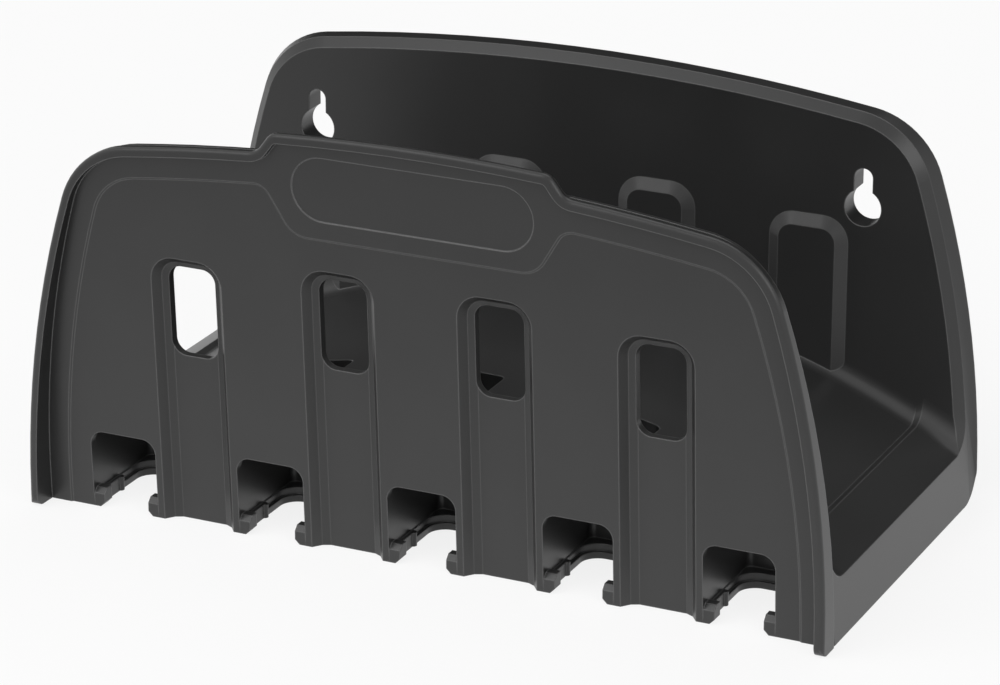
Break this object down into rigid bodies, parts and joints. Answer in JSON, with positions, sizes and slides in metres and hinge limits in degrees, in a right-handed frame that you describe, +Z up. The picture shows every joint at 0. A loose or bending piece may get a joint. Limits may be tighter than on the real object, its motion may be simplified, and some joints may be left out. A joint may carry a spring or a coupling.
{
  "type": "hose hanger",
  "caption": "Wall hanger for a coiled hose: an open trough between two arched plates, with notches along the front foot for hose fittings.",
  "frame": {"origin": "middle of the footprint, on the plane of the feet", "axes": "+Z up, +Y towards the wall, +X to the right of somebody who faces the wall"},
  "size_m": [0.27, 0.1354, 0.1383],
  "materials": {
    "moulded_polypropylene": "satin dark grey moulded surface with a fine even grain"
  },
  "bodies": {
    "root": {"hose_hanger": "moulded_polypropylene"}
  },
  "joints": []
}
